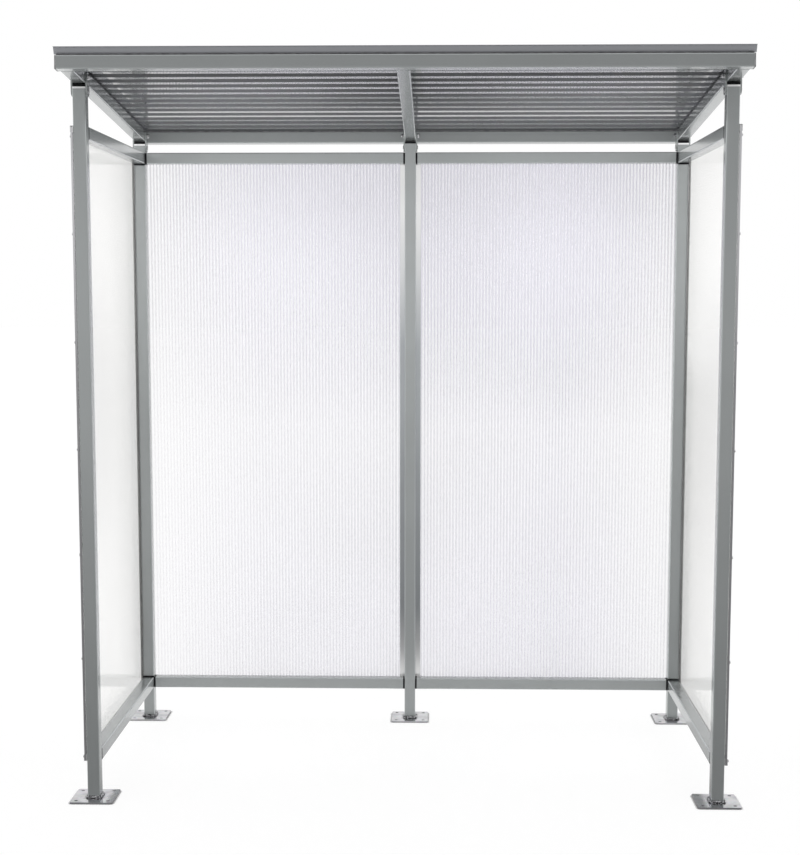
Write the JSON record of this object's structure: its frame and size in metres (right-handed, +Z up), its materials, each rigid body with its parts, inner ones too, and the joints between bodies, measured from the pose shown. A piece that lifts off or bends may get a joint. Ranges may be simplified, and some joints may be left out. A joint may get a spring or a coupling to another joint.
{
  "type": "smoking shelter",
  "caption": "Open-fronted standing shelter of square steel tube on bolted base plates, with translucent twin-wall panels on three sides and a corrugated sheet roof falling to the back.",
  "frame": {"origin": "on the ground, at the middle of the roof's outline", "axes": "+Z up, +X to the right seen from the open front, +Y to the closed back"},
  "size_m": [2.095, 1.2594, 2.2974],
  "materials": {
    "frame_paint": "silver-grey paint, fairly glossy",
    "ear_paint": "silver-grey paint, satin",
    "plate_zinc": "zinc coated, mottled",
    "cap_plastic": "black moulded plastic",
    "beam_cap_plastic": "grey moulded plastic",
    "panel_plastic": "translucent twin-wall sheet with upright flutes, glossy",
    "trim_aluminium": "mill finish, bright",
    "bedding_foam": "dark closed foam",
    "sheet_metal": "grey coated corrugated sheet, satin",
    "fastener_zinc": "bright zinc bolts, nuts, screws and washers",
    "weld_metal": "rough weld bead, painted over"
  },
  "bodies": {
    "root": {"left_front_post": "frame_paint", "right_front_post": "frame_paint", "left_back_post": "frame_paint", "middle_back_post": "frame_paint", "right_back_post": "frame_paint", "left_front_base_plate": "plate_zinc", "right_front_base_plate": "plate_zinc", "left_back_base_plate": "plate_zinc", "middle_back_base_plate": "plate_zinc", "right_back_base_plate": "plate_zinc", "left_front_ear_plates": "ear_paint", "right_front_ear_plates": "ear_paint", "left_back_ear_plates": "ear_paint", "middle_back_ear_plates": "ear_paint", "right_back_ear_plates": "ear_paint", "left_side_top_rail": "frame_paint", "left_side_bottom_rail": "frame_paint", "right_side_top_rail": "frame_paint", "right_side_bottom_rail": "frame_paint", "left_back_top_rail": "frame_paint", "left_back_bottom_rail": "frame_paint", "right_back_top_rail": "frame_paint", "right_back_bottom_rail": "frame_paint", "front_beam": "frame_paint", "rear_beam": "frame_paint", "left_rafter": "frame_paint", "middle_rafter": "frame_paint", "right_rafter": "frame_paint", "post_caps": "cap_plastic", "rail_end_caps": "cap_plastic", "beam_end_caps": "beam_cap_plastic", "left_side_panel": "panel_plastic", "right_side_panel": "panel_plastic", "left_back_panel": "panel_plastic", "right_back_panel": "panel_plastic", "left_side_channels": "trim_aluminium", "right_side_channels": "trim_aluminium", "left_back_channels": "trim_aluminium", "right_back_channels": "trim_aluminium", "panel_joiner": "trim_aluminium", "roof_bedding_strips": "bedding_foam", "roof_sheet": "sheet_metal"}
  },
  "joints": []
}
